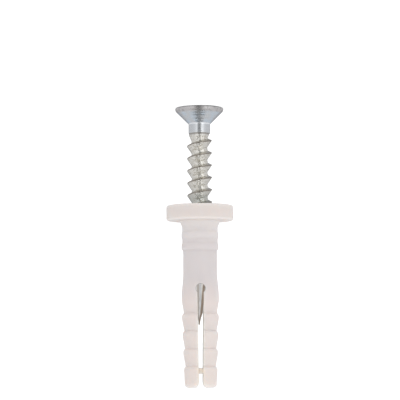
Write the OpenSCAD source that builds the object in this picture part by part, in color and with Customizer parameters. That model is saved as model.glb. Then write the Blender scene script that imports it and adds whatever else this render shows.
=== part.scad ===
// Hammer fixing plug: a split plastic sleeve with a collar, and the countersunk hammer
// screw that stands proud in it, ready to be driven flush with the collar.
//
// The modules draw each piece upright, with z along the axis, z = 0 in the plane of the
// collar's underside and the screw's head up. stand_on_head() then turns the plug over,
// so that it stands on the flat of the screw's head with its legs up.

/* [Collar] */
// Diameter of the collar
collar_d = 11.1; // [10:0.1:13]
// Thickness of the collar
collar_h = 2.5; // [2.4:0.1:3.5]
// Rounding of the collar's top edge
collar_top_round = 0.3; // [0.1:0.05:0.8]
// Rounding of the collar's lower edge
collar_low_round = 0.3; // [0.1:0.05:0.8]

/* [Shank] */
// Length of the sleeve below the collar
shank_l = 27.5; // [25:0.5:40]
// Diameter of the plain shank
shank_d = 5.6; // [5.2:0.1:6]
// Diameter over the ribs under the collar
rib_d = 6.1; // [5.8:0.1:6.6]
// Number of ribs under the collar
rib_count = 2; // [1:1:3]
// Distance from one rib to the next
rib_pitch = 1.95; // [1.75:0.05:2.4]
// Distance from the collar to the middle of the first rib
rib_first = 2.45; // [2.3:0.05:3.2]
// Length of a rib's flat crest
rib_land = 0.5; // [0.3:0.05:0.7]
// Length of the slope on each side of a rib
rib_slope = 0.45; // [0.2:0.05:0.5]
// Depth of the groove above each rib
rib_depth = 0.17; // [0.05:0.01:0.3]
// Diameter of the root that flares into the collar
flare_d = 6.6; // [6.2:0.1:7]
// Length of that flare
flare_l = 1.3; // [0.8:0.1:1.5]

/* [Split legs] */
// Length of the split, from the tip to the middle of the keyhole
split_l = 16.2; // [12:0.1:18]
// Diameter of the keyhole at the top of the split
keyhole_d = 1.5; // [1.1:0.1:2]
// Width of the split under the keyhole
split_w = 1.05; // [0.6:0.05:1.2]
// Width of the split at the tip
split_tip_w = 0.7; // [0.4:0.05:1]
// How far the split widens where it runs out
mouth_round = 0.55; // [0.2:0.05:0.8]
// Length over which it widens
mouth_l = 1; // [0.3:0.1:1.4]
// Diameter of the swelling over the keyhole
swell_d = 6.15; // [5.8:0.05:6.8]
// Distance from the swelling's widest point down to the first barb
swell_drop = 2.5; // [2:0.1:3.2]
// Distance over which the shank widens into the swelling
swell_rise = 4.4; // [3:0.1:5]
// Number of barbs on the legs
barb_count = 4; // [3:1:5]
// Length of the last barb, from its shoulder to the tip
barb_tip_l = 3.4; // [2.4:0.1:3.8]
// Length of each of the others
barb_pitch = 2.9; // [2.4:0.1:3.2]
// Diameter over the first barb
barb_d = 6.1; // [5.8:0.1:6.6]
// Diameter over the last barb, at the tip
barb_tip_d = 5.5; // [5.3:0.1:6]
// How far a barb stands out of the leg
barb_depth = 0.28; // [0.1:0.01:0.4]
// Length of a barb's rounded shoulder
barb_shoulder = 0.6; // [0.1:0.05:0.6]
// Length of a barb's crest
barb_land = 0.4; // [0.2:0.1:0.8]
// How far the crest draws in over that length
barb_draw = 0.04; // [0.01:0.01:0.1]
// Rounding of the legs' outer edge at the tip
tip_round = 0.55; // [0.2:0.05:0.7]
// Distance from the tip to the middle of the web that ties the legs
web_from_tip = 2.75; // [1.5:0.05:4]
// Length of the web along the axis
web_l = 0.95; // [0.4:0.05:1.2]
// Diameter to which the web fills the split
web_d = 4.7; // [4.2:0.1:5]

/* [Screw] */
// Length of the screw, head to point
screw_l = 36; // [32:0.5:50]
// How far the head stands proud of the collar
screw_proud = 16.3; // [10:0.1:17]
// Diameter of the countersunk head
head_d = 8; // [7:0.1:8.6]
// Rounding of the head's top edge
head_edge = 0.25; // [0.1:0.05:0.35]
// Rounding from the head's widest point into its cone
head_bilge = 0.6; // [0.1:0.05:0.6]
// Diameter of the plain neck under the head
neck_d = 3.6; // [3:0.1:3.8]
// Length of the plain neck
neck_l = 1.6; // [1.6:0.1:3]
// Outer diameter of the thread
thread_d = 4.1; // [3.6:0.1:4.2]
// Diameter of the core between the turns
core_d = 2.64; // [2.2:0.02:2.68]
// Distance from one turn to the next
thread_pitch = 2.05; // [1.6:0.05:2.4]
// Number of full turns
thread_turns = 8; // [5:1:9]
// Angle at which the thread leaves the neck, which sets where its crests stand
thread_angle = 282; // [0:1:359]
// Width of the thread's crest
crest_land = 0.12; // [0.08:0.02:0.3]
// Slope of the flank that faces the head, measured along the axis
upper_flank = 0.28; // [0.1:0.02:0.4]
// Length of the hollow that eases that flank into the core
root_hollow = 0.35; // [0.1:0.05:0.4]
// Height of the hollow where it meets the flank
root_hollow_h = 0.09; // [0.03:0.01:0.15]
// Bare core between the hollow and the next turn
root_land = 0.22; // [0.06:0.02:0.3]
// Turns over which the thread rises out of the core at each end
thread_fade = 0.5; // [0.4:0.05:1.2]
// How far the thread runs up inside the neck
thread_in_neck = 1.4; // [0.3:0.1:1.5]
// Diameter of the smooth nail below the thread
nail_d = 2.7; // [2.5:0.1:3]
// Angle of the point
point_angle = 36; // [30:1:60]
// Diameter of the blunt end of the point
point_d = 0.24; // [0.1:0.02:0.5]

/* [Driver recess] */
// Width across opposite wings at the top of the head
recess_span = 5.2; // [4:0.1:5.2]
// Width of a wing
recess_wing = 1.4; // [1:0.1:1.6]
// Diameter of the round core at the top of the head
recess_core_d = 3; // [2.2:0.1:3]
// Depth of the recess
recess_depth = 2.4; // [1.8:0.1:2.6]
// Depth at which the wings turn in towards the bottom
recess_wing_depth = 1.5; // [1:0.1:1.7]
// How much narrower the wings' ends are at that depth
recess_taper = 1.4; // [0.6:0.1:1.8]
// Diameter of the recess's flat bottom
recess_bottom_d = 0.7; // [0.4:0.1:1]

/* [Clearances] */
// Gap all round between the screw and its bore
screw_play = 0.1; // [0.05:0.01:0.2]
// Gap round the head when it is driven home
head_play = 0.06; // [0.03:0.01:0.15]
// Spare depth of the wide bore below the driven thread
bore_spare = 0.4; // [0.2:0.1:1]

/* [Hidden] */
$fn = 64;

// How far a cut runs past the face that it opens
past = 1;
// How far the screw's sections run into each other
bite = 0.2;
// Points on a quarter round
arc_steps = 6;
// Points on one side of a rib or of the swelling
swell_steps = 8;
// Points on one turn of the thread
turn_steps = 36;

collar_r = collar_d / 2;
tip_z = -shank_l;
keyhole_z = tip_z + split_l;
first_barb_z = tip_z + barb_tip_l + (barb_count - 1) * barb_pitch;
swell_z = first_barb_z + swell_drop;
web_z = tip_z + web_from_tip;

head_z = collar_h + screw_proud;
point_z = head_z - screw_l;
// Where the head's rounded edge runs into its 90 degree cone
cone_r = head_d / 2 - head_bilge * (1 - cos(45));
cone_depth = head_edge + head_bilge * sin(45);
neck_top_z = head_z - cone_depth - (cone_r - neck_d / 2);
neck_z = neck_top_z - neck_l;
// The thread stops short of the recess, however short the neck is
thread_top_z = min(neck_z + thread_in_neck, head_z - recess_depth - 2 * bite);
thread_bottom_z = thread_top_z - thread_pitch * (thread_turns + 1);
nail_top_z = thread_bottom_z - bite / 2;
thread_steps = turn_steps * thread_turns;

bore_r = thread_d / 2 + screw_play;
nail_bore_r = nail_d / 2 + screw_play;
seat_r = head_d / 2 + head_play;
// The seat's cone is the head's own, moved out by the gap square to its slope
seat_rim_z = collar_h - cone_depth - cone_r + seat_r - head_play * sqrt(2);
bore_step_z = nail_top_z - screw_proud - bore_spare;

module stand_on_head() {
    rotate([0, 180, 0]) children();
}

// Outline helpers: each gives points as [radius, z]

function arc(centre, radius, from, to) = [
    for (i = [0:arc_steps])
        let (a = from + (to - from) * i / arc_steps)
        centre + radius * [cos(a), sin(a)]
];

function ease(from, to) = [
    for (i = [0:swell_steps])
        let (t = i / swell_steps)
        [from.x + (to.x - from.x) * (1 - cos(180 * t)) / 2, from.y + (to.y - from.y) * t]
];

// Sleeve

collar_outline = concat(
    arc([collar_r - collar_top_round, collar_h - collar_top_round], collar_top_round, 90, 0),
    arc([collar_r - collar_low_round, collar_low_round], collar_low_round, 0, -90)
);

rib_r = rib_d / 2;
groove_r = rib_r - rib_depth;
function rib_z(i) = -rib_first - i * rib_pitch;
// The slope below the last rib runs on down to the plain shank
function rib_foot_r(i) = i < rib_count - 1 ? groove_r : shank_d / 2;

rib_outline = [
    for (i = [0:rib_count - 1])
        let (top = rib_z(i) + rib_land / 2, low = rib_z(i) - rib_land / 2)
        each concat(
            ease([groove_r, top + rib_slope], [rib_r, top]),
            ease([rib_r, low], [rib_foot_r(i), low - rib_slope])
        )
];

function barb_r(i) = (barb_d + (barb_tip_d - barb_d) * i / (barb_count - 1)) / 2;
function barb_z(i) = first_barb_z - i * barb_pitch;
function barb_shoulder_points(i) = [
    for (a = [0:90 / arc_steps:90])
        [barb_r(i) - barb_depth * (1 - sin(a)), barb_z(i) - barb_shoulder * (1 - cos(a))]
];

barb_outline = [
    for (i = [0:barb_count - 1])
        each concat(
            barb_shoulder_points(i),
            [[barb_r(i) - barb_draw, barb_z(i) - barb_shoulder - barb_land]]
        )
];

tip_r = barb_r(barb_count - 1) - barb_depth / 2;
tip_outline = arc([tip_r - tip_round, tip_z + tip_round], tip_round, 0, -90);

sleeve_outline = concat(
    [[0, collar_h]],
    collar_outline,
    ease([flare_d / 2, 0], [groove_r, -flare_l]),
    rib_outline,
    ease([shank_d / 2, swell_z + swell_rise], [swell_d / 2, swell_z]),
    ease([swell_d / 2, swell_z], [barb_r(0) - barb_depth, first_barb_z]),
    barb_outline,
    tip_outline,
    [[0, tip_z]]
);

// Head seat, wide bore for the thread and close bore for the nail
bore_outline = [
    [0, collar_h + past],
    [seat_r, collar_h + past],
    [seat_r, seat_rim_z],
    [bore_r, seat_rim_z - (seat_r - bore_r)],
    [bore_r, bore_step_z],
    [nail_bore_r, bore_step_z - (bore_r - nail_bore_r)],
    [nail_bore_r, tip_z - past],
    [0, tip_z - past]
];

// Right-hand edge of the split, from the keyhole down and out round the leg's end
mouth_edge = [
    for (a = [0:90 / arc_steps:90])
        [split_tip_w / 2 + mouth_round * (1 - cos(a)), tip_z + mouth_l * (1 - sin(a))]
];
split_edge = concat(
    [[split_w / 2, keyhole_z]],
    mouth_edge,
    [[split_tip_w / 2 + mouth_round, tip_z - past]]
);

module split() {
    mirrored = [for (i = [len(split_edge) - 1:-1:0]) [-split_edge[i].x, split_edge[i].y]];
    difference() {
        rotate([90, 0, 0])
            linear_extrude(height = 2 * swell_d, center = true) {
                translate([0, keyhole_z]) circle(d = keyhole_d);
                polygon(concat(split_edge, mirrored));
            }
        translate([0, 0, web_z]) cylinder(d = web_d, h = web_l, center = true);
    }
}

module sleeve() {
    color("#e8e0dc")
        stand_on_head()
            difference() {
                rotate_extrude() polygon(sleeve_outline);
                rotate_extrude() polygon(bore_outline);
                split();
            }
}

// Hammer screw

module recess() {
    wing_outline = [
        [0, past],
        [recess_span / 2, past],
        [recess_span / 2, 0],
        [(recess_span - recess_taper) / 2, -recess_wing_depth],
        [recess_bottom_d / 2, -recess_depth],
        [0, -recess_depth]
    ];
    core_outline = [
        [0, past],
        [recess_core_d / 2, past],
        [recess_core_d / 2, 0],
        [recess_bottom_d / 2, -recess_depth],
        [0, -recess_depth]
    ];
    intersection() {
        rotate_extrude() polygon(wing_outline);
        for (turn = [0, 90])
            rotate([0, 0, turn]) cube([2 * recess_span, recess_wing, 4 * recess_depth], center = true);
    }
    rotate_extrude() polygon(core_outline);
}

module head() {
    edge_z = head_z - head_edge;
    head_outline = concat(
        [[0, head_z]],
        arc([head_d / 2 - head_edge, edge_z], head_edge, 90, 0),
        arc([head_d / 2 - head_bilge, edge_z], head_bilge, 0, -45),
        [[neck_d / 2, neck_top_z], [neck_d / 2, neck_z], [0, neck_z]]
    );
    difference() {
        rotate_extrude() polygon(head_outline);
        translate([0, 0, head_z]) recess();
    }
}

// One tooth of the thread from its root up, as [z within the pitch, height out of the core].
// The long lower flank takes what the other stretches leave of the pitch.
thread_h = (thread_d - core_d) / 2;
hollow_top = thread_pitch - root_land;
flank_top = hollow_top - root_hollow;
crest_top = flank_top - upper_flank;
tooth = [
    [0, 0],
    [crest_top - crest_land, thread_h],
    [crest_top, thread_h],
    [flank_top, root_hollow_h],
    [hollow_top, 0]
];
tooth_last = len(tooth) - 1;

function fade(k) = min(1, min(k, thread_steps - k) / (thread_fade * turn_steps));
function turned(r, k, z) = let (a = thread_angle + 360 * k / turn_steps) [r * cos(a), r * sin(a), z];
function thread_point(k, j) = turned(
    core_d / 2 + fade(k) * tooth[j][1],
    k,
    thread_bottom_z + thread_pitch * k / turn_steps + tooth[j][0]
);

// The threaded stretch, as one closed skin: the tooth swept up its helix, with each turn joined
// to the next, and a plain ring at each end that closes it inside the neck and the nail.
module thread() {
    rings = (thread_steps + 1) * len(tooth);
    swept = [for (k = [0:thread_steps], j = [0:tooth_last]) thread_point(k, j)];
    low_ring = [for (k = [0:turn_steps - 1]) turned(core_d / 2, k, nail_top_z - bite)];
    high_ring = [for (k = [0:turn_steps - 1]) turned(core_d / 2, k, thread_top_z + bite)];

    function at(k, j) = k * len(tooth) + j;
    function low(k) = rings + k % turn_steps;
    function high(k) = rings + turn_steps + k % turn_steps;
    function patch(a, b, c, d) = [[a, b, c], [a, c, d]];

    // First step of the last turn
    top = thread_steps - turn_steps;

    teeth = [
        for (k = [0:thread_steps - 1], j = [0:tooth_last - 1])
            each patch(at(k, j), at(k, j + 1), at(k + 1, j + 1), at(k + 1, j))
    ];
    roots = [
        for (k = [0:top - 1])
            each patch(
                at(k, tooth_last),
                at(k + turn_steps, 0),
                at(k + turn_steps + 1, 0),
                at(k + 1, tooth_last)
            )
    ];
    low_skirt = [
        for (k = [0:turn_steps - 2]) each patch(low(k), at(k, 0), at(k + 1, 0), low(k + 1))
    ];
    low_seam = concat(
        [at(turn_steps - 1, 0), at(turn_steps, 0)],
        [for (j = [tooth_last:-1:0]) at(0, j)],
        [low(0), low(turn_steps - 1)]
    );
    high_skirt = [
        for (k = [top + 1:thread_steps - 1])
            each patch(at(k, tooth_last), high(k), high(k + 1), at(k + 1, tooth_last))
    ];
    high_seam = concat(
        [at(top + 1, tooth_last), at(top, tooth_last)],
        [for (j = [0:tooth_last]) at(thread_steps, j)],
        [high(top), high(top + 1)]
    );
    low_cap = [for (k = [0:turn_steps - 1]) low(k)];
    high_cap = [for (k = [turn_steps - 1:-1:0]) high(k)];

    polyhedron(
        points = concat(swept, low_ring, high_ring),
        faces = concat(
            teeth, roots, low_skirt, [low_seam], high_skirt, [high_seam], [low_cap, high_cap]
        ),
        convexity = 10
    );
}

module nail() {
    nail_outline = [
        [0, nail_top_z],
        [nail_d / 2, nail_top_z],
        [nail_d / 2, point_z + (nail_d - point_d) / 2 / tan(point_angle / 2)],
        [point_d / 2, point_z],
        [0, point_z]
    ];
    rotate_extrude() polygon(nail_outline);
}

module hammer_screw() {
    color("#b7bdc0")
        stand_on_head() {
            head();
            thread();
            nail();
        }
}

sleeve();
hammer_screw();
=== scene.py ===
"""Looks of a hammer fixing plug: a moulded split sleeve and the plated hammer screw proud in it.

Each piece is drawn upright in the plug's own frame, in millimetres: z runs along the axis with the
screw's head up, z = 0 lies in the collar's underside and the split faces -y. TO_ROW then turns it
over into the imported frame, in metres, where the plug stands on the flat of the screw's head.
"""

import logging
import math
from dataclasses import dataclass
from enum import Enum

import bmesh
import bpy
import numpy as np
from mathutils import Matrix, Vector


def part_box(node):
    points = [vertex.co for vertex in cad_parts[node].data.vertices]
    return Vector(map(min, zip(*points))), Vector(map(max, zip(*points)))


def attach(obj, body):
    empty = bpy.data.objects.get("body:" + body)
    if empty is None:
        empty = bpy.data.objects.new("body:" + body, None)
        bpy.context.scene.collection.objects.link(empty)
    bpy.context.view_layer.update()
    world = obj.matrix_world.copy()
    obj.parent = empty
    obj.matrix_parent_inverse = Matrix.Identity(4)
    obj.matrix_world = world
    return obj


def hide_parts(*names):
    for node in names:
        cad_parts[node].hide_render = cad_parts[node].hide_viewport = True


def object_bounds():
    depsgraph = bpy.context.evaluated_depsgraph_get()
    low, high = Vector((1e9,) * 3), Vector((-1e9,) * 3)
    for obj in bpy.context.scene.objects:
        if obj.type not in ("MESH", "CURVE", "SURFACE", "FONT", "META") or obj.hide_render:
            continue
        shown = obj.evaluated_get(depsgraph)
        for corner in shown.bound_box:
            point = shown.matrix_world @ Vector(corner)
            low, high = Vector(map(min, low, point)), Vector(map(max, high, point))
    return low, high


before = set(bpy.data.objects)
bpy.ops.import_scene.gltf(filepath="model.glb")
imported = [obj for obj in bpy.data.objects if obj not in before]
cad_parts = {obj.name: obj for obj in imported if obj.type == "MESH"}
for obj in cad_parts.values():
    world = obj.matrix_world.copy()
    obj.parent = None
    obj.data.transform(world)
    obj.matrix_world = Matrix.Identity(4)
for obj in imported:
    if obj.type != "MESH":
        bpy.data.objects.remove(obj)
CAD_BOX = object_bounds()

log = logging.getLogger("plug")

Point = tuple[float, float]
Colour = tuple[float, float, float]
Stop = tuple[float, Colour]
Spread = tuple[float, float, float, float]
Socket = bpy.types.NodeSocket
Feed = Socket | bpy.types.Material | float | str | tuple

MM = 0.001
TO_ROW = Matrix.Scale(MM, 4) @ Matrix.Rotation(math.pi, 4, "Y")
WELD = 2e-4


class Body(Enum):
    """The two bodies that the pieces ride on."""

    PLUG = "plug"
    SCREW = "screw"


class Slot(Enum):
    """The record's material slots."""

    NYLON = "nylon"
    ZINC = "zinc_steel"


class Joining(Enum):
    """Ways to combine closed meshes."""

    ADD = "UNION"
    CUT = "DIFFERENCE"


def grey(value: float) -> Colour:
    """Makes a colour without a hue."""
    return (value, value, value)


def arc(centre: Point, radius: float, start: float, stop: float, steps: int = 8) -> list[Point]:
    """Draws a round stretch of an outline.

    Args:
        centre: Radius and height of the arc's centre.
        radius: Radius of the arc.
        start: Angle of the first point, in degrees.
        stop: Angle of the last point, in degrees.
        steps: Number of stretches.

    Returns:
        The points, as radius and height.
    """
    angles = np.radians(np.linspace(start, stop, steps + 1))
    return [(centre[0] + radius * math.cos(a), centre[1] + radius * math.sin(a)) for a in angles]


def ease(start: Point, stop: Point, steps: int = 14) -> list[Point]:
    """Draws a soft S from one radius to another.

    Args:
        start: First radius and height.
        stop: Last radius and height.
        steps: Number of stretches.

    Returns:
        The points, as radius and height.
    """
    shares = np.linspace(0, 1, steps + 1)
    return [
        (
            start[0] + (stop[0] - start[0]) * (1 - math.cos(math.pi * t)) / 2,
            start[1] + (stop[1] - start[1]) * t,
        )
        for t in shares
    ]


def rounded_loop(half: Point, soft: float, turn: float, z: float) -> np.ndarray:
    """Draws a level rectangle with rounded corners round the axis.

    Args:
        half: Half its length and half its width.
        soft: Radius of its corners.
        turn: Angle of its length, in degrees.
        z: Height at which it lies.

    Returns:
        The closed loop of points.
    """
    x, y = half[0] - soft, half[1] - soft
    corners = ((x, y, 0), (-x, y, 90), (-x, -y, 180), (x, -y, 270))
    points = [p for cx, cy, start in corners for p in arc((cx, cy), soft, start, start + 90, 3)]
    c, s = math.cos(math.radians(turn)), math.sin(math.radians(turn))
    return np.array([(c * px - s * py, s * px + c * py, z) for px, py in points])


def stand(name: str, data: bpy.types.Mesh | bpy.types.Camera) -> bpy.types.Object:
    """Puts a new object at the scene's origin."""
    piece = bpy.data.objects.new(name, data)
    bpy.context.scene.collection.objects.link(piece)
    return piece


def applied(piece: bpy.types.Object) -> bpy.types.Mesh:
    """Takes an object's mesh as its modifiers leave it."""
    result = piece.evaluated_get(bpy.context.evaluated_depsgraph_get())
    return bpy.data.meshes.new_from_object(result)


def combine(base: bpy.types.Mesh, tools: list[bpy.types.Mesh], way: Joining) -> bpy.types.Mesh:
    """Combines closed meshes, which are used up.

    Args:
        base: The mesh that is added to or cut.
        tools: What is added to it or cut from it.
        way: Whether to add or to cut.

    Returns:
        The combined mesh.
    """
    pieces = [stand(mesh.name, mesh) for mesh in (base, *tools)]
    for tool in pieces[1:]:
        step = pieces[0].modifiers.new("combine", "BOOLEAN")
        step.operation, step.solver, step.object = way.value, "EXACT", tool
    mesh = applied(pieces[0])
    for piece in pieces:
        data = piece.data
        bpy.data.objects.remove(piece)
        bpy.data.meshes.remove(data)
    return mesh


class Skin:
    """A mesh in the making, in the plug's own frame."""

    def __init__(self) -> None:
        """Starts an empty mesh."""
        self.mesh = bmesh.new()

    def grid(self, rows: list[np.ndarray], closed: bool) -> list[list[bmesh.types.BMVert]]:
        """Spans faces between rows of points.

        Args:
            rows: Arrays of points, all of one length.
            closed: Whether each row runs on from its last point to its first.

        Returns:
            The vertices, row by row.
        """
        lines = [[self.mesh.verts.new(p) for p in row] for row in rows]
        count = len(rows[0])
        for low, high in zip(lines, lines[1:]):
            for i in range(count if closed else count - 1):
                j = (i + 1) % count
                self.mesh.faces.new((low[i], low[j], high[j], high[i]))
        return lines

    def cap(self, line: list[bmesh.types.BMVert]) -> None:
        """Closes a row with one flat face."""
        self.mesh.faces.new(line)

    def revolve(self, outline: list[Point], angles: np.ndarray, closed: bool = True) -> list:
        """Turns an outline round the axis.

        Args:
            outline: Points as radius and height.
            angles: Angles of the columns, in radians.
            closed: Whether the columns run all the way round.

        Returns:
            The vertices, ring by ring.
        """
        rings = [
            np.column_stack((r * np.cos(angles), r * np.sin(angles), np.full(len(angles), z)))
            for r, z in outline
        ]
        return self.grid(rings, closed)

    def take(self, mesh: bpy.types.Mesh) -> None:
        """Adds a finished mesh and frees it."""
        self.mesh.from_mesh(mesh)
        bpy.data.meshes.remove(mesh)

    def loft(self, rows: list[np.ndarray]) -> None:
        """Spans closed rows of points and closes both ends."""
        lines = self.grid(rows, closed=True)
        self.cap(lines[0])
        self.cap(lines[-1])

    def uncap(self, z: float) -> None:
        """Opens the flat end face at a height."""
        ends = [f for f in self.mesh.faces if len(f.verts) > 4]
        flat = [f for f in ends if all(abs(v.co.z - z) < WELD for v in f.verts)]
        bmesh.ops.delete(self.mesh, geom=flat, context="FACES_ONLY")

    def plain(self, name: str) -> bpy.types.Mesh:
        """Welds the mesh and turns its faces outwards.

        Args:
            name: Name of the finished mesh.

        Returns:
            The mesh, still in the plug's own frame.
        """
        bmesh.ops.remove_doubles(self.mesh, verts=self.mesh.verts[:], dist=WELD)
        bmesh.ops.dissolve_degenerate(self.mesh, edges=self.mesh.edges[:], dist=WELD / 2)
        bmesh.ops.recalc_face_normals(self.mesh, faces=self.mesh.faces[:])
        for face in self.mesh.faces:
            face.smooth = True
        data = bpy.data.meshes.new(name)
        self.mesh.to_mesh(data)
        self.mesh.free()
        return data

    def finish(self, name: str, sharp: float) -> bpy.types.Object:
        """Welds the mesh, turns its faces outwards and puts it in the row frame.

        Args:
            name: Name of the new object.
            sharp: Edges that fold by more than this angle, in degrees, stay crisp.

        Returns:
            The object, linked to the scene.
        """
        data = self.plain(name)
        data.transform(TO_ROW)
        data.set_sharp_from_angle(angle=math.radians(sharp))
        return stand(name, data)


class Graph:
    """A node tree that is put together from short calls, most of which return a result's socket."""

    def __init__(self, tree: bpy.types.NodeTree) -> None:
        """Takes an empty tree."""
        self.tree = tree
        tree.nodes.clear()

    def feed(self, target: Socket, source: Feed) -> None:
        """Links a socket to another or sets its value; a colour is given without its opacity."""
        if isinstance(source, Socket):
            self.tree.links.new(source, target)
        elif target.type == "RGBA":
            target.default_value = (*source, 1.0)
        else:
            target.default_value = source

    def fill(self, node: bpy.types.Node, feeds: dict[str | int, Feed]) -> None:
        """Feeds several sockets of a node, by their names or places."""
        for name, source in feeds.items():
            self.feed(node.inputs[name], source)

    def node(
        self, kind: str, feeds: dict[str | int, Feed] | None = None, **settings: object
    ) -> bpy.types.Node:
        """Adds a node.

        Args:
            kind: Blender's name of the node.
            feeds: What its sockets take, by their names or places.
            settings: Its properties.

        Returns:
            The node.
        """
        made = self.tree.nodes.new(kind)
        for name, value in settings.items():
            setattr(made, name, value)
        self.fill(made, feeds or {})
        return made

    def axes(self, place: Socket) -> list[Socket]:
        """Splits a place into its x, y and z."""
        return list(self.node("ShaderNodeSeparateXYZ", {0: place}).outputs)

    def math(self, operation: str, *feeds: Feed, clamp: bool = False) -> Socket:
        """Adds a Math node.

        Args:
            operation: Blender's name of the operation.
            feeds: Numbers or sockets, in order.
            clamp: Whether the result stays between 0 and 1.

        Returns:
            The result's socket.
        """
        inputs = dict(enumerate(feeds))
        return self.node("ShaderNodeMath", inputs, operation=operation, use_clamp=clamp).outputs[0]

    def times(self, first: Feed, second: Feed) -> Socket:
        """Multiplies two values."""
        return self.math("MULTIPLY", first, second)

    def radius(self, x: Socket, y: Socket) -> Socket:
        """Measures the distance from an axis."""
        return self.math("SQRT", self.math("MULTIPLY_ADD", x, x, self.times(y, y)))

    def ease(
        self, value: Feed, low: Feed, high: Feed, start: Feed = 0.0, stop: Feed = 1.0
    ) -> Socket:
        """Maps a value softly from one range to another.

        Args:
            value: What is mapped.
            low: Value at which the result is start.
            high: Value at which the result is stop.
            start: Result at and below low.
            stop: Result at and above high.

        Returns:
            The result's socket.
        """
        inputs = dict(enumerate((value, low, high, start, stop)))
        return self.node("ShaderNodeMapRange", inputs, interpolation_type="SMOOTHSTEP").outputs[0]

    def rise(self, value: Feed, low: float, high: float, strength: float = 1.0) -> Socket:
        """Makes a mask that grows from nothing to its strength between two lengths in millimetres."""
        return self.ease(value, low * MM, high * MM, 0.0, strength)

    def fall(self, value: Feed, low: float, high: float, strength: float = 1.0) -> Socket:
        """Makes a mask that falls from its strength to nothing between two lengths in millimetres."""
        return self.ease(value, low * MM, high * MM, strength, 0.0)

    def line(self, value: Feed, low: float, high: float) -> Socket:
        """Maps a value evenly from the given range to 0 to 1."""
        return self.node("ShaderNodeMapRange", {0: value, 1: low, 2: high}).outputs[0]

    def ramp(self, value: Feed, stops: list[Stop]) -> Socket:
        """Adds a Color Ramp.

        Args:
            value: Where on the ramp to read.
            stops: Places from 0 to 1, each with its colour.

        Returns:
            The colour's socket.
        """
        made = self.node("ShaderNodeValToRGB", {"Fac": value})
        marks = made.color_ramp.elements
        while len(marks) < len(stops):
            marks.new(0.5)
        for mark, (place, colour) in zip(marks, stops):
            mark.position = place
            mark.color = (*colour, 1.0)
        return made.outputs["Color"]

    def heights(self, z: Socket, stops: list[Stop]) -> Socket:
        """Adds a Color Ramp along the plug's axis.

        Args:
            z: Height in the row frame.
            stops: Heights in the plug's own frame from the top down, each with its colour.

        Returns:
            The colour's socket.
        """
        top, low = stops[0][0], stops[-1][0]
        share = self.line(z, -top * MM, -low * MM)
        return self.ramp(share, [((top - height) / (top - low), colour) for height, colour in stops])

    def mix(self, share: Feed, first: Feed, second: Feed, blend: str = "MIX") -> Socket:
        """Mixes two colours.

        Args:
            share: How much of the second colour.
            first: First colour.
            second: Second colour.
            blend: Blender's name of the way they mix.

        Returns:
            The colour's socket.
        """
        inputs = {0: share, 6: first, 7: second}
        return self.node("ShaderNodeMix", inputs, data_type="RGBA", blend_type=blend).outputs[2]

    def noise(self, place: Socket, scale: float, detail: float) -> Socket:
        """Adds a Noise Texture."""
        inputs = {"Vector": place, "Scale": scale, "Detail": detail}
        return self.node("ShaderNodeTexNoise", inputs).outputs["Fac"]

    def stretched(self, place: Socket, scale: Colour, detail: float) -> Socket:
        """Adds a Noise Texture that is scaled along each axis on its own."""
        made = self.node("ShaderNodeMapping", {"Vector": place, "Scale": scale})
        return self.noise(made.outputs["Vector"], 1.0, detail)

    def bump(self, height: Socket, depth: float, strength: float) -> Socket:
        """Adds a Bump node of the given depth in millimetres."""
        inputs = {"Height": height, "Distance": depth * MM, "Strength": strength}
        return self.node("ShaderNodeBump", inputs).outputs["Normal"]


def shader(name: str) -> tuple[bpy.types.Material, Graph, bpy.types.Node]:
    """Starts a material.

    Args:
        name: Name of the material.

    Returns:
        The material, its node graph and its shader, which already feeds the output.
    """
    material = bpy.data.materials.new(name)
    material.use_nodes = True
    graph = Graph(material.node_tree)
    surface = graph.node("ShaderNodeBsdfPrincipled")
    graph.node("ShaderNodeOutputMaterial", {"Surface": surface.outputs[0]})
    return material, graph, surface


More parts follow.
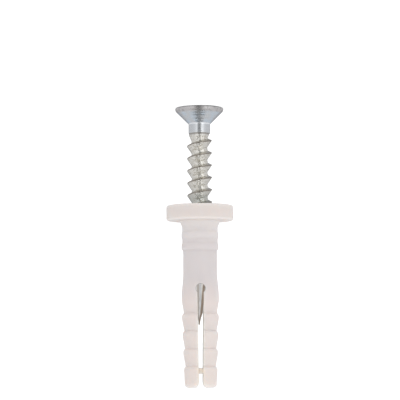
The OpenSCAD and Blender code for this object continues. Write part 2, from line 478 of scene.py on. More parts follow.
@dataclass(frozen=True)
class MouldedNylon:
    """Off-white nylon, a little translucent, with a satin moulded skin.

    Lengths are in millimetres. A pair of them says where a change of tone begins and ends.
    """

    collar: Colour = (0.752, 0.70, 0.68)
    # Painted shade on the collar's lower round, then painted light on its underside and down the flare,
    # where the collar's shade falls
    brim_shade: Colour = (0.715, 0.664, 0.645)
    fold: Colour = (0.785, 0.734, 0.714)
    under: Colour = (0.945, 0.893, 0.868)
    root: Colour = (0.778, 0.74, 0.732)
    flare_light: Colour = (0.752, 0.722, 0.725)
    shank: Colour = (0.688, 0.65, 0.658)
    legs: Colour = (0.765, 0.690, 0.672)
    tip: Colour = (0.78, 0.712, 0.684)
    # Painted shade inside the bore
    bore: Colour = (0.72, 0.70, 0.68)
    # Painted shade on the keyhole's wall, and painted light on the walls of the split below the nail
    keyhole: Colour = (0.26, 0.25, 0.24)
    split_wall_light: Colour = (0.96, 0.91, 0.84)
    # Painted light: a glow on the split's thin edges
    edge_light: Colour = (0.87, 0.755, 0.635)
    cloud: Colour = (0.86, 0.80, 0.70)
    cloud_scale: float = 260.0
    cloud_share: float = 0.10
    legs_from: Point = (2.0, -3.0)
    edge_light_from: Point = (0.3, 0.75)
    edge_light_rise: float = 1.5
    edge_light_share: float = 0.8
    bore_shade_edge: Point = (2.25, 2.4)
    bore_shade_slope: float = 0.85
    split_wall_light_edge: Point = (0.06, 0.12)
    split_wall_light_from: Point = (16.0, 18.0)
    split_wall_light_fade: float = 0.4
    split_wall_light_share: float = 0.85
    keyhole_shade_edge: Point = (0.03, 0.1)
    keyhole_shade_share: float = 0.85
    grain_scale: float = 5200.0
    grain_depth: float = 0.02
    grain_strength: float = 0.25
    roughness: Spread = (0.3, 0.7, 0.43, 0.54)
    shine: float = 0.25
    glow: float = 1.0
    glow_reach: Colour = (1.3, 1.2, 1.1)

    def material(self, sleeve: "PlugSleeve") -> bpy.types.Material:
        """Makes the material.

        Args:
            sleeve: The sleeve that it dresses, for the heights at which its tone changes.

        Returns:
            The material.
        """
        material, graph, surface = shader("moulded_nylon")
        place = graph.node("ShaderNodeTexCoord").outputs["Object"]
        x, y, z = graph.axes(place)
        fold_z = sleeve.collar_low_round
        # Tones along the axis, with painted shade and painted light round the collar's lower end
        tone = graph.heights(
            z,
            [
                (sleeve.collar_h, self.collar),
                (fold_z * 2, self.collar),
                (fold_z, self.brim_shade),
                (fold_z / 10, self.fold),
                (0.0, self.under),
                (-fold_z / 2, self.root),
                (-sleeve.flare_l, self.flare_light),
                (-sleeve.rib_first - sleeve.rib_pitch, self.shank),
                (sleeve.keyhole_z + self.legs_from[0], self.shank),
                (sleeve.keyhole_z + self.legs_from[1], self.legs),
                (sleeve.tip_z, self.tip),
            ],
        )
        clouds = graph.times(graph.noise(place, self.cloud_scale, detail=2.0), self.cloud_share)
        clouded = graph.mix(clouds, tone, self.cloud)

        # Painted light on the split's thin edges, a yellowish glow for light let through them, and
        # painted shade inside the bore
        aside = graph.math("ABSOLUTE", x)
        edge = graph.fall(aside, *self.edge_light_from, self.edge_light_share)
        low = graph.rise(z, -sleeve.keyhole_z, self.edge_light_rise - sleeve.keyhole_z)
        edge_lit = graph.mix(graph.times(edge, low), clouded, self.edge_light)
        seat = graph.math("MINIMUM", graph.times(z, self.bore_shade_slope), 0.0)
        within = graph.fall(graph.math("ADD", graph.radius(x, y), seat), *self.bore_shade_edge)
        bore_shaded = graph.mix(within, edge_lit, self.bore)

        # Painted light on the walls of the split below the nail, and painted shade on the keyhole's
        # wall
        narrowing = (sleeve.split_w - sleeve.split_tip_w) / 2 / (sleeve.split_l - sleeve.mouth_l)
        tip_half = (sleeve.split_tip_w / 2 + narrowing * (sleeve.shank_l - sleeve.mouth_l)) * MM
        half = graph.math("MULTIPLY_ADD", z, -narrowing, tip_half)
        off_wall = graph.math("ABSOLUTE", graph.math("SUBTRACT", aside, half))
        web_z = sleeve.shank_l - sleeve.web_from_tip - sleeve.web_l / 2
        above = graph.fall(z, web_z - self.split_wall_light_fade, web_z, self.split_wall_light_share)
        clear = graph.times(graph.rise(z, *self.split_wall_light_from), above)
        wall = graph.times(graph.fall(off_wall, *self.split_wall_light_edge), clear)
        split_wall_lit = graph.mix(wall, bore_shaded, self.split_wall_light)
        off_hole = graph.radius(x, graph.math("ADD", z, sleeve.keyhole_z * MM))
        ends = [sleeve.keyhole_d / 2 + margin for margin in self.keyhole_shade_edge]
        hole = graph.fall(off_hole, *ends, self.keyhole_shade_share)

        grain = graph.noise(place, self.grain_scale, detail=3.0)
        graph.fill(surface, {
            "Base Color": graph.mix(hole, split_wall_lit, self.keyhole),
            "Roughness": graph.ease(grain, *self.roughness),
            "Normal": graph.bump(grain, self.grain_depth, self.grain_strength),
            "Subsurface Weight": self.glow,
            "Subsurface Radius": self.glow_reach,
            "Subsurface Scale": MM,
            "Specular IOR Level": self.shine,
        })
        return material


@dataclass(frozen=True)
class Streak:
    """A painted streak down the nail, for shade and for a highlight, which leaves its middle plane by x
    and slants with the height.
    """

    x: float
    slant: float
    half: float
    strength: float
    soft: float = 0.14


@dataclass(frozen=True)
class ZincPlate:
    """Bright zinc plating on steel, bluish on the head and yellower between the thread's turns.

    Lengths are in millimetres. A pair of them says where a change of tone begins and ends.
    """

    head: Colour = (0.61, 0.63, 0.65)
    bloom: Colour = (0.58, 0.67, 0.76)
    body: Colour = (0.755, 0.74, 0.695)
    stain: Colour = (0.49, 0.45, 0.37)
    mouth_tone: Colour = (0.53, 0.54, 0.51)
    # Painted shade along the thread's crests and round the neck's lower end
    dark_shade: Colour = (0.28, 0.25, 0.22)
    nail: Colour = (0.82, 0.80, 0.77)
    # Drawing marks on the nail, with painted streaks of shade and the darker point
    drawn: Colour = (0.27, 0.21, 0.16)
    rim: Colour = (0.58, 0.565, 0.565)
    # Scuffs on the rim, and a painted dark reflection on its front
    scuffs_and_dark_reflection: Colour = (0.34, 0.33, 0.33)
    edge: Colour = (0.20, 0.20, 0.20)
    # Painted highlight on the neck and down the nail
    highlight_tone: Colour = (0.97, 0.98, 1.0)
    recess: Colour = (0.30, 0.44, 0.48)
    head_rough: float = 0.18
    rim_rough: float = 0.25
    body_rough: float = 0.26
    nail_rough: float = 0.34
    nail_metal: float = 0.85
    body_from: Point = (0.2, -0.4)
    nail_from: float = 1.5
    patch_scale: float = 900.0
    speck_scale: float = 4200.0
    scuff_scale: float = 1700.0
    lump_scale: float = 2300.0
    drawn_scale: Colour = (1500.0, 1500.0, 60.0)
    turned_scale: Colour = (120.0, 120.0, 4200.0)
    bloom_spread: Spread = (0.38, 0.70, 0.0, 0.8)
    stain_spread: Spread = (0.46, 0.68, 0.0, 0.85)
    drawn_spread: Spread = (0.50, 0.70, 0.0, 0.3)
    scuff_spread: Spread = (0.50, 0.72, 0.0, 0.8)
    fleck_spread: Spread = (0.35, 0.6, 0.55, 1.0)
    dull_spread: Spread = (0.3, 0.7, -0.05, 0.1)
    crest_shade_spread: Point = (0.9, 1.0)
    mouth_tone_from: Point = (3.2, 0.8)
    mouth_tone_depth: float = 3.0
    bloom_fade: float = 0.3
    # Painted streaks of shade down the nail, and a painted highlight
    shade_streaks: tuple[Streak, Streak] = (Streak(1.60, -0.095, 0.14, 0.97), Streak(-0.40, 0.0, 0.04, 0.75))
    glint: Streak = Streak(-0.02, 0.0, 0.06, 0.95)
    point_darkening_from: Point = (2.0, 0.8)
    point_darkening_share: float = 0.85
    ring_soft: float = 0.12
    # Painted highlight where the cone meets the neck, and a painted shadow line round its lower end
    neck_highlight: Point = (0.03, 0.85)
    neck_shadow_line: Point = (0.06, 0.75)
    neck_shadow_drop: float = 0.08
    rim_edge: Point = (3.5, 3.75)
    # Painted dark reflection on the front of the rim
    dark_front_edge: Point = (-3.6, -1.6)
    dark_front_share: float = 0.65
    outer_edge: Point = (3.68, 3.74)
    outer_depth: Point = (0.08, 0.24)
    recess_slope: float = 0.5
    recess_edge: Point = (2.65, 2.8)
    recess_depth: Point = (0.05, 0.3)
    recess_core: Point = (1.1, 1.6)
    speck_height: float = 0.22
    lump_height: float = 2.6
    dent_depth: float = 0.08
    dent_strength: float = 0.6

    def material(self, screw: "HammerScrew") -> bpy.types.Material:
        """Makes the material.

        Args:
            screw: The screw that it dresses, for the heights at which its tone changes.

        Returns:
            The material.
        """
        material, graph, surface = shader("zinc_plate")
        place = graph.node("ShaderNodeTexCoord").outputs["Object"]
        x, y, z = graph.axes(place)

        def along(head: Colour, body: Colour, nail: Colour) -> Socket:
            """Ramp from the head's value over the thread's to the nail's."""
            return graph.heights(
                z,
                [
                    (screw.head_z, head),
                    (screw.neck_z + self.body_from[0], head),
                    (screw.neck_z + self.body_from[1], body),
                    (screw.thread_bottom_z, body),
                    (screw.thread_bottom_z - self.nail_from, nail),
                    (screw.point_z, nail),
                ],
            )

        def streak(mark: Streak) -> Socket:
            """Mask of a painted streak down the nail."""
            axis = graph.math("MULTIPLY_ADD", z, mark.slant, mark.x * MM)
            aside = graph.math("ABSOLUTE", graph.math("ADD", x, axis))
            return graph.fall(aside, mark.half, mark.half + mark.soft, mark.strength)

        def ring(height: float, half: float, strength: float) -> Socket:
            """Mask of a narrow band round the screw at a height in the plug's own frame."""
            away = graph.math("ABSOLUTE", graph.math("ADD", z, height * MM))
            return graph.fall(away, half, half + self.ring_soft, strength)

        # Plain tones and what lies on them: bloom on the head, stains on the thread, drawing marks,
        # painted streaks of shade, a painted highlight and a darker point on the nail
        patches = graph.noise(place, self.patch_scale, detail=2.0)
        specks = graph.noise(place, self.speck_scale, detail=4.0)
        # A darker, greener tone on the thread near and inside the sleeve's mouth
        mouth_z = -screw.sleeve_top
        near = graph.rise(z, *(mouth_z - reach for reach in self.mouth_tone_from))
        inside = graph.fall(z, mouth_z, mouth_z + self.mouth_tone_depth)
        whole = along(self.head, self.body, self.nail)
        plain = graph.mix(graph.times(near, inside), whole, self.mouth_tone)
        on_cone = graph.fall(z, -screw.neck_top_z, self.bloom_fade - screw.neck_top_z)
        bloom = graph.times(graph.ease(patches, *self.bloom_spread), on_cone)
        stain = graph.ease(specks, *self.stain_spread)
        lengthwise = graph.stretched(place, self.drawn_scale, detail=2.0)
        fine = graph.ease(lengthwise, *self.drawn_spread)
        streak_shade = graph.math("MAXIMUM", *(streak(mark) for mark in self.shade_streaks))
        # The nail grows darker towards its point
        ends = [-screw.point_z - reach for reach in self.point_darkening_from]
        point_darkening = graph.rise(z, *ends, self.point_darkening_share)
        drawn = graph.math("MAXIMUM", graph.math("MAXIMUM", fine, streak_shade), point_darkening)
        on_head = along(grey(1.0), grey(0.0), grey(0.0))
        on_thread = along(grey(0.0), grey(1.0), grey(0.0))
        on_nail = along(grey(0.0), grey(0.0), grey(1.0))
        spread = graph.mix(on_nail, graph.mix(on_head, stain, bloom), drawn)
        glinting = graph.mix(graph.times(streak(self.glint), on_nail), plain, self.highlight_tone)
        tone = graph.mix(spread, glinting, along(self.bloom, self.stain, self.drawn))
        # Painted shade: a dark line along the thread's crests
        tooth = graph.node("ShaderNodeAttribute", attribute_name="tooth").outputs["Fac"]
        crest_shaded = graph.mix(graph.ease(tooth, *self.crest_shade_spread), tone, self.dark_shade)

        # Painted highlight where the cone meets the neck, and a painted shadow line round its lower end
        neck_highlighted = graph.mix(ring(screw.neck_top_z, *self.neck_highlight), crest_shaded, self.highlight_tone)
        line = ring(screw.neck_z - self.neck_shadow_drop, *self.neck_shadow_line)
        neck_shadowed = graph.mix(line, neck_highlighted, self.dark_shade)

        # The rim of the head, with scuffs and a painted dark reflection on its front, and the walls of
        # the recess, which lie within a cone under its face
        r = graph.radius(x, y)
        scuffs = graph.ease(graph.noise(place, self.scuff_scale, detail=3.0), *self.scuff_spread)
        front = graph.math("ADD", graph.math("ABSOLUTE", x), y)
        scuffs_and_front_reflection = graph.math("MAXIMUM", scuffs, graph.fall(front, *self.dark_front_edge, self.dark_front_share))
        mottled = graph.mix(scuffs_and_front_reflection, self.rim, self.scuffs_and_dark_reflection)
        rimmed = graph.mix(graph.rise(r, *self.rim_edge), neck_shadowed, mottled)
        depth = graph.math("ADD", z, screw.head_z * MM)
        flecked = graph.ease(patches, *self.fleck_spread)
        outer = graph.times(graph.rise(r, *self.outer_edge), flecked)
        edge = graph.times(outer, graph.fall(depth, *self.outer_depth))
        bordered = graph.mix(edge, rimmed, self.edge)
        cone = graph.math("MULTIPLY_ADD", depth, self.recess_slope, r)
        under = graph.fall(cone, *self.recess_edge)
        sunk = graph.times(under, graph.rise(depth, *self.recess_depth))
        walls = graph.times(sunk, graph.rise(r, *self.recess_core))

        rough = along(*map(grey, (self.head_rough, self.body_rough, self.nail_rough)))
        dull = graph.ease(specks, *self.dull_spread)
        matt = graph.rise(r, *self.rim_edge, self.rim_rough - self.head_rough)
        turned = graph.stretched(place, self.turned_scale, detail=3.0)
        on_lumps = graph.times(on_thread, self.lump_height)
        lumps = graph.times(graph.noise(place, self.lump_scale, detail=1.0), on_lumps)
        dents = graph.math("MULTIPLY_ADD", specks, self.speck_height, graph.math("ADD", turned, lumps))
        graph.fill(surface, {
            "Base Color": graph.mix(walls, bordered, self.recess),
            "Roughness": graph.math("ADD", graph.math("ADD", rough, dull), matt),
            "Metallic": along(grey(1.0), grey(1.0), grey(self.nail_metal)),
            "Normal": graph.bump(dents, self.dent_depth, self.dent_strength),
        })
        return material


@dataclass
class PlugSleeve:
    """The moulded sleeve: collar, ribbed shank, split with its keyhole, barbed legs, web and bore."""

    collar_d: float
    collar_h: float
    shank_l: float
    seat_r: float
    seat_rim_z: float
    bore_r: float
    nail_bore_r: float
    bore_step_z: float
    head_play: float = 0.06
    screw_play: float = 0.1
    bore_spare: float = 0.5
    collar_top_round: float = 0.3
    collar_low_round: float = 0.3
    shank_d: float = 5.6
    rib_d: float = 6.1
    rib_count: int = 2
    rib_pitch: float = 1.95
    rib_first: float = 2.45
    rib_land: float = 0.5
    rib_slope: float = 0.45
    rib_depth: float = 0.11
    flare_d: float = 6.6
    flare_l: float = 1.3
    split_l: float = 16.2
    keyhole_d: float = 1.5
    split_w: float = 1.05
    split_tip_w: float = 0.7
    mouth_round: float = 0.55
    mouth_l: float = 1.0
    swell_d: float = 6.15
    swell_drop: float = 2.5
    swell_rise: float = 4.4
    barb_count: int = 4
    barb_tip_l: float = 3.4
    barb_pitch: float = 2.9
    barb_d: float = 6.1
    barb_tip_d: float = 5.5
    barb_depth: float = 0.28
    barb_shoulder: float = 0.6
    barb_land: float = 0.4
    barb_draw: float = 0.04
    barb_fillet: float = 20.0
    tip_round: float = 0.55
    web_from_tip: float = 2.75
    web_l: float = 0.95
    web_d: float = 4.7
    web_round: float = 0.12
    web_overlap: float = 0.2
    leg_overlap: float = 2.0
    section_gap: float = 0.01
    seat_round: float = 0.12
    edge_round: float = 0.1
    bore_edge_round: float = 0.06
    columns: int = 44
    crisp: float = 48.0
    name: str = "plug_sleeve"

    @classmethod
    def from_frame(cls, screw: "HammerScrew") -> "PlugSleeve":
        """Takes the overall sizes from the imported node, and the bore's from the screw.

        Args:
            screw: The screw that the sleeve holds.

        Returns:
            The sleeve, ready to build.
        """
        low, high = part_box("sleeve")
        collar_h = -low.z / MM
        seat_r = screw.head_d / 2 + cls.head_play
        drop = screw.cone_depth + screw.cone_r - seat_r + cls.head_play * math.sqrt(2)
        return cls(
            collar_d=2 * min(high.x, -low.x) / MM,
            collar_h=collar_h,
            shank_l=high.z / MM,
            seat_r=seat_r,
            seat_rim_z=collar_h - drop,
            bore_r=screw.thread_d / 2 + cls.screw_play,
            nail_bore_r=screw.nail_d / 2 + cls.screw_play,
            bore_step_z=screw.thread_bottom_z - (screw.head_z - collar_h) - cls.bore_spare,
        )

    @property
    def tip_z(self) -> float:
        """Height of the legs' ends."""
        return -self.shank_l

    @property
    def keyhole_z(self) -> float:
        """Height of the keyhole's middle."""
        return self.tip_z + self.split_l

    @property
    def split_top_z(self) -> float:
        """Height at which the keyhole closes."""
        return self.keyhole_z + self.keyhole_d / 2

    @property
    def first_barb_z(self) -> float:
        """Height of the first barb's shoulder."""
        return self.tip_z + self.barb_tip_l + (self.barb_count - 1) * self.barb_pitch

    def barb_r(self, i: int) -> float:
        """Radius over one barb, counted from the collar."""
        return (self.barb_d + (self.barb_tip_d - self.barb_d) * i / (self.barb_count - 1)) / 2

    def ribs(self) -> list[Point]:
        """Outline of the ribs under the collar, from the top down."""
        crest_r = self.rib_d / 2
        groove_r = crest_r - self.rib_depth
        points: list[Point] = []
        for i in range(self.rib_count):
            middle = -self.rib_first - i * self.rib_pitch
            top, low = middle + self.rib_land / 2, middle - self.rib_land / 2
            foot_r = groove_r if i < self.rib_count - 1 else self.shank_d / 2
            points += ease((groove_r, top + self.rib_slope), (crest_r, top), 8)
            points += ease((crest_r, low), (foot_r, low - self.rib_slope), 8)
        return points

    @property
    def fillet_l(self) -> float:
        """Length of the small fillet over a barb's shoulder."""
        lean = math.radians(self.barb_fillet)
        return 2 * self.barb_shoulder * math.tan(lean) ** 2 * math.cos(lean)

    @property
    def fillet_rise(self) -> float:
        """Height over a barb's shoulder at which its fillet begins."""
        return self.fillet_l - self.barb_shoulder * (1 - math.cos(math.radians(self.barb_fillet)))

    def barbs(self) -> list[Point]:
        """Outline of the barbs, from the top down, with a small fillet over each shoulder."""
        points: list[Point] = []
        fillet_out = self.barb_depth * math.sin(math.radians(self.barb_fillet))
        for i in range(self.barb_count):
            r, z = self.barb_r(i), self.first_barb_z - i * self.barb_pitch
            for t in np.linspace(0, 1, 5)[:-1]:
                foot = r - self.barb_depth + fillet_out * t**2
                points.append((foot, z + self.fillet_rise - self.fillet_l * t))
            for a in np.radians(np.linspace(self.barb_fillet, 90, 8)):
                out = self.barb_depth * (1 - math.sin(a))
                points.append((r - out, z - self.barb_shoulder * (1 - math.cos(a))))
            points.append((r - self.barb_draw, z - self.barb_shoulder - self.barb_land))
        return points

    def outside(self) -> list[Point]:
        """Outline of the sleeve's outside, from the collar's top edge down to the tip."""
        r, top, low = self.collar_d / 2, self.collar_top_round, self.collar_low_round
        swell_r = self.swell_d / 2
        swell_z = self.first_barb_z + self.swell_drop
        barb_z = self.first_barb_z + self.fillet_rise
        tip_r = self.barb_r(self.barb_count - 1) - self.barb_depth / 2
        return [
            *arc((r - top, self.collar_h - top), top, 90, 0),
            *arc((r - low, low), low, 0, -90),
            *ease((self.flare_d / 2, 0.0), (self.rib_d / 2 - self.rib_depth, -self.flare_l)),
            *self.ribs(),
            *ease((self.shank_d / 2, swell_z + self.swell_rise), (swell_r, swell_z), 20),
            *ease((swell_r, swell_z), (self.barb_r(0) - self.barb_depth, barb_z), 20)[1:-1],
            *self.barbs(),
            *arc((tip_r - self.tip_round, self.tip_z + self.tip_round), self.tip_round, 0, -90),
        ]

    def upper_outline(self) -> list[Point]:
        """Half section above the split: up the outside, over the collar and down the bore."""
        rim = self.seat_round
        up = [p for p in self.outside() if p[1] > self.split_top_z][::-1]
        return [
            (self.outer_r(self.split_top_z), self.split_top_z),
            *up,
            *arc((self.seat_r + rim, self.collar_h - rim), rim, 90, 180, 4),
            (self.seat_r, self.seat_rim_z),
            (self.bore_r, self.seat_rim_z - (self.seat_r - self.bore_r)),
            (self.bore_r, self.split_top_z),
        ]

    def outer_r(self, z: float) -> float:
        """Outer radius of the legs at a height."""
        points = [p for p in self.outside() if p[1] < self.split_top_z + self.leg_overlap][::-1]
        return float(np.interp(z, [p[1] for p in points], [p[0] for p in points]))

    def inner_r(self, z: float) -> float:
        """Radius of the bore at a height."""
        step, wide, narrow = self.bore_step_z, self.bore_r, self.nail_bore_r
        heights = (self.tip_z, step - (wide - narrow), step, self.collar_h)
        return float(np.interp(z, heights, (narrow, narrow, wide, wide)))

    def split_half(self, z: float) -> float:
        """Half the split's width at a height, with its keyhole and its rounded mouth."""
        hole_r = self.keyhole_d / 2
        hole = math.sqrt(max(0.0, hole_r**2 - (z - self.keyhole_z) ** 2))
        if z > self.keyhole_z:
            return hole
        mouth_z = self.tip_z + self.mouth_l
        slot = float(np.interp(z, (mouth_z, self.keyhole_z), (self.split_tip_w / 2, self.split_w / 2)))
        bend = min(1.0, max(0.0, (mouth_z - z) / self.mouth_l))
        return max(hole, slot) + self.mouth_round * (1 - math.sqrt(1 - bend**2))

    def leg_heights(self) -> list[float]:
        """Heights of the legs' sections, from the top of the keyhole down."""
        hole_r = self.keyhole_d / 2
        turns = np.radians(np.linspace(0, 150, 26))
        mouth = np.radians(np.linspace(0, 90, 9))
        heights = [p[1] for p in self.outside() if p[1] < self.split_top_z]
        heights += [self.keyhole_z + hole_r * math.cos(a) for a in turns]
        heights += [self.tip_z + self.mouth_l * (1 - math.sin(a)) for a in mouth]
        heights += [self.bore_step_z, self.bore_step_z - (self.bore_r - self.nail_bore_r)]
        kept = [self.split_top_z]
        for z in sorted(heights, reverse=True):
            if self.tip_z + self.section_gap < z < kept[-1] - self.section_gap:
                kept.append(z)
        return [*kept, self.tip_z]

    def leg_section(self, z: float, side: int) -> np.ndarray:
        """Draws one leg's section.

        Args:
            z: Height of the section.
            side: 1 for the leg on the right, -1 for the one on the left.

        Returns:
            The closed loop of points.
        """
        outer, inner, half = self.outer_r(z), self.inner_r(z), self.split_half(z)
        out_round = min(self.edge_round, half / 2)
        in_round = min(self.bore_edge_round, half / 2)
        out_x, in_x = half + out_round, half + in_round
        out_y = math.sqrt((outer - out_round) ** 2 - out_x**2)
        in_y = math.sqrt((inner + in_round) ** 2 - in_x**2)
        out_turn = math.degrees(math.atan2(out_y, out_x))
        in_turn = math.degrees(math.atan2(in_y, in_x))

        back = [
            *arc((out_x, out_y), out_round, out_turn, 180, 4)[1:],
            *((half, y) for y in np.linspace(out_y, in_y, 5)[1:]),
            *arc((in_x, in_y), in_round, 180, 180 + in_turn, 3)[1:],
        ]
        outside = arc((0, 0), outer, -out_turn, out_turn, self.columns)
        bore = arc((0, 0), inner, in_turn, -in_turn, self.columns)[1:]
        front = [(x, -y) for x, y in back[::-1]][1:]
        loop = [*outside, *back, *bore, *front]
        return np.array([(side * x, y, z) for x, y in loop])

    def web(self, side: int) -> bpy.types.Mesh:
        """Builds the little bar that ties the legs together, on the near or the far side of the bore.

        Args:
            side: -1 for the near side, 1 for the far one.

        Returns:
            The bar, which runs a little way into each leg.
        """
        middle = self.tip_z + self.web_from_tip
        low_r, high_r, soft = self.nail_bore_r, self.web_d / 2, self.web_round
        half_l = self.web_l / 2
        corners = (
            (high_r - soft, half_l - soft, 0),
            (low_r + soft, half_l - soft, 90),
            (low_r + soft, soft - half_l, 180),
            (high_r - soft, soft - half_l, 270),
        )
        section = [p for r, z, turn in corners for p in arc((r, middle + z), soft, turn, turn + 90, 4)]
        reach = self.split_half(middle) + self.web_overlap
        skin = Skin()
        skin.loft([
            np.array([(x, side * math.sqrt(r * r - x * x), z) for r, z in section])
            for x in np.linspace(-reach, reach, 9)
        ])
        return skin.plain("web")

    def build(self) -> bpy.types.Object:
        """Builds the sleeve as one mesh."""
        skin = Skin()
        quarter = math.pi / 2
        angles = np.linspace(-quarter, 3 * quarter, 2 * self.columns + 1)[:-1]
        skin.revolve(self.upper_outline(), angles)
        for side in (-1, 1):
            lines = skin.grid([self.leg_section(z, side) for z in self.leg_heights()], closed=True)
            skin.cap(lines[-1])
        whole = Skin()
        whole.take(combine(skin.plain("sleeve"), [self.web(-1), self.web(1)], Joining.ADD))
        return whole.finish(self.name, self.crisp)

    def dress(self, piece: bpy.types.Object) -> None:
        """Gives the sleeve its finish and its place in the frame."""
        piece.data.materials.append(MouldedNylon().material(self))
        piece.visible_glossy = False
        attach(piece, Body.PLUG.value)
        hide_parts("sleeve")


@dataclass
class HammerScrew:
    """The hammer screw: head with its cross recess, neck, sawtooth thread, nail and point."""

    head_d: float
    head_z: float
    length: float
    sleeve_top: float
    head_edge: float = 0.25
    face_land: float = 0.05
    head_bilge: float = 0.6
    neck_d: float = 3.6
    neck_l: float = 1.6
    neck_round: float = 0.18
    thread_d: float = 4.1
    core_d: float = 2.64
    thread_pitch: float = 2.05
    thread_turns: int = 8
    thread_angle: float = 282.0
    crest_land: float = 0.12
    upper_flank: float = 0.28
    root_hollow: float = 0.35
    root_hollow_h: float = 0.09
    root_land: float = 0.22
    thread_fade: float = 0.5
    thread_in_neck: float = 1.4
    runout_d: float = 3.28
    runout_l: float = 1.1
    nail_d: float = 2.7
    nail_step: float = 0.1
    point_angle: float = 36.0
    point_d: float = 0.24
    point_lean: float = -0.22
    point_hollow: float = 1.8
    point_soft: float = 0.6
    point_end: float = 0.02
    recess_span: float = 5.2
    recess_wing: float = 1.4
    recess_core_d: float = 3.0
    recess_depth: float = 2.4
    recess_wing_depth: float = 1.5
    recess_taper: float = 1.4
    wing_taper: float = 0.05
    recess_bottom_d: float = 0.7
    recess_bevel: float = 0.06
    recess_soft: float = 0.3
    recess_out: float = 0.3
    mark_span: float = 4.9
    mark_depth: float = 0.04
    turn_steps: int = 90
    tooth_steps: int = 60
    crisp: float = 38.0
    name: str = "hammer_screw_plated"

    @classmethod
    def from_frame(cls) -> "HammerScrew":
        """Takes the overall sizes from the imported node."""
        low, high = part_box("hammer_screw")
        return cls(
            head_d=(high.x - low.x) / MM,
            head_z=-low.z / MM,
            length=(high.z - low.z) / MM,
            sleeve_top=-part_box("sleeve")[0].z / MM,
        )

    @property
    def cone_r(self) -> float:
        """Radius at which the head's rounded edge runs into its cone."""
        return self.head_d / 2 - self.head_bilge * (1 - math.sqrt(0.5))

    @property
    def cone_depth(self) -> float:
        """Depth under the head's face at which that happens."""
        return self.head_edge + self.head_bilge * math.sqrt(0.5)

    @property
    def neck_top_z(self) -> float:
        """Height at which the head's cone meets the neck."""
        return self.head_z - self.cone_depth - (self.cone_r - self.neck_d / 2)

    @property
    def neck_z(self) -> float:
        """Height of the neck's lower end."""
        return self.neck_top_z - self.neck_l

    @property
    def thread_top_z(self) -> float:
        """Height at which the thread ends inside the neck."""
        return self.neck_z + self.thread_in_neck

    @property
    def thread_bottom_z(self) -> float:
        """Height at which the thread begins above the nail."""
        return self.thread_top_z - self.thread_pitch * (self.thread_turns + 1)

    @property
    def tooth_h(self) -> float:
        """Height of the tooth over the core."""
        return (self.thread_d - self.core_d) / 2

    @property
    def point_z(self) -> float:
        """Height of the nail's point."""
        return self.head_z - self.length

    @property
    def point_l(self) -> float:
        """Length of the nail's tapered point."""
        return (self.nail_d - self.point_d) / 2 / math.tan(math.radians(self.point_angle / 2))

    @property
    def columns(self) -> np.ndarray:
        """Angles of the columns, which the head, the thread and the nail share."""
        start = math.radians(self.thread_angle)
        return start + np.linspace(0, 2 * math.pi, self.turn_steps + 1)[:-1]

    def head(self) -> bpy.types.Mesh:
        """Builds the head and the upper neck, closed at both ends."""
        edge_z = self.head_z - self.head_edge
        bend_z = self.neck_top_z - self.neck_round * math.tan(math.pi / 8)
        outline = [
            (self.head_d / 2 - self.head_edge - self.face_land, self.head_z),
            *arc((self.head_d / 2 - self.head_edge, edge_z), self.head_edge, 90, 0, 6),
            *arc((self.head_d / 2 - self.head_bilge, edge_z), self.head_bilge, 0, -45, 6)[1:],
            *arc((self.neck_d / 2 + self.neck_round, bend_z), self.neck_round, 135, 180, 5),
            (self.neck_d / 2, self.thread_top_z),
        ]
        skin = Skin()
        rings = skin.revolve(outline, self.columns)
        skin.cap(rings[0])
        skin.cap(rings[-1])
        return skin.plain("head")

    def cutter(self, turn: float, stages: list[tuple[float, float, float]]) -> bpy.types.Mesh:
        """Builds what cuts one stretch of the recess.

        Args:
            turn: Angle of its length, in degrees.
            stages: Depths from the top down, each with half the length and half the width there.

        Returns:
            The cutter, which stands out of the head's face.
        """
        skin = Skin()
        skin.loft([
            rounded_loop((length, width), self.recess_soft * width, turn, self.head_z - depth)
            for depth, length, width in stages
        ])
        return skin.plain("cutter")

    def recess(self) -> list[bpy.types.Mesh]:
        """Builds the recess's cutters: two pairs of wings, the core and the marks between the wings."""
        out, bevel = self.recess_out, self.recess_bevel
        reach, half, core = self.recess_span / 2, self.recess_wing / 2, self.recess_core_d / 2
        low, mark = self.recess_bottom_d / 2, self.mark_span / 2
        wing = [
            (-out, reach + bevel + out, half + bevel + out),
            (bevel, reach, half),
            (self.recess_wing_depth, reach - self.recess_taper / 2, half - self.wing_taper),
            (self.recess_depth, low, low),
        ]
        middle = [
            (-out, core + bevel + out, core + bevel + out),
            (bevel, core, core),
            (self.recess_depth, low, low),
        ]
        groove = [
            (-self.mark_depth / 2, mark, self.mark_depth),
            (self.mark_depth, mark - self.mark_depth, self.mark_depth / 4),
        ]
        return [
            self.cutter(0, wing),
            self.cutter(90, wing),
            self.cutter(45, middle),
            self.cutter(45, groove),
            self.cutter(135, groove),
        ]

    def build(self) -> bpy.types.Object:
        """Builds the screw as one mesh."""
        skin = Skin()
        skin.take(self.thread())
        skin.take(combine(self.head(), self.recess(), Joining.CUT))
        skin.uncap(self.thread_top_z)
        rings = skin.revolve(self.nail_outline(), self.columns)
        for ring in rings:
            share = max(0.0, 1 - (ring[0].co.z - self.point_z) / self.point_l)
            for vertex in ring:
                vertex.co.x += self.point_lean * share
        skin.cap(rings[-1])
        return skin.finish(self.name, self.crisp)

    def nail_outline(self) -> list[Point]:
        """Outline of the nail, from the thread's lower end to its hollow point."""
        nail_r, blunt_r = self.nail_d / 2, self.point_d / 2
        taper = [
            (blunt_r + (nail_r - blunt_r) * t**self.point_hollow, self.point_z + self.point_l * t)
            for t in np.linspace(1, self.point_end, 14)
        ]
        return [
            (self.core_d / 2, self.thread_bottom_z),
            (nail_r, self.thread_bottom_z - self.nail_step),
            (nail_r, self.point_z + self.point_l + self.nail_step),
            *taper,
            (blunt_r * self.point_soft, self.point_z),
        ]

